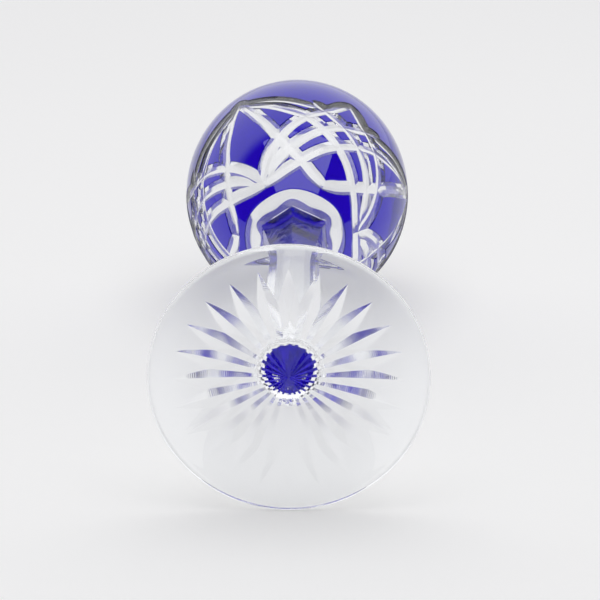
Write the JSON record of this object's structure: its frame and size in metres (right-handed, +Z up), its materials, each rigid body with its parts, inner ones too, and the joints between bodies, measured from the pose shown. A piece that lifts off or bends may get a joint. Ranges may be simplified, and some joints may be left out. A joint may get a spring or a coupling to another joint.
{
  "type": "stemmed glass",
  "caption": "Stemmed wine glass in cobalt-cased crystal, its bowl cut back to clear in a lattice, on a six-sided stem and a star-cut foot.",
  "frame": {"origin": "middle of the foot's resting face", "axes": "+Z up the glass's axis from the foot to the rim, -Y towards the side that was uppermost when the glass was laid on its side"},
  "size_m": [0.075, 0.075, 0.188],
  "materials": {
    "crystal": "clear polished lead crystal",
    "cobalt_casing": "polished cobalt-blue cased glass"
  },
  "bodies": {
    "root": {"foot": "crystal", "stem": "crystal", "bowl": "crystal", "blue_seat": "cobalt_casing", "blue_base_band": "cobalt_casing", "blue_kites": "cobalt_casing", "blue_panes": "cobalt_casing", "blue_rim_band": "cobalt_casing"}
  },
  "joints": []
}
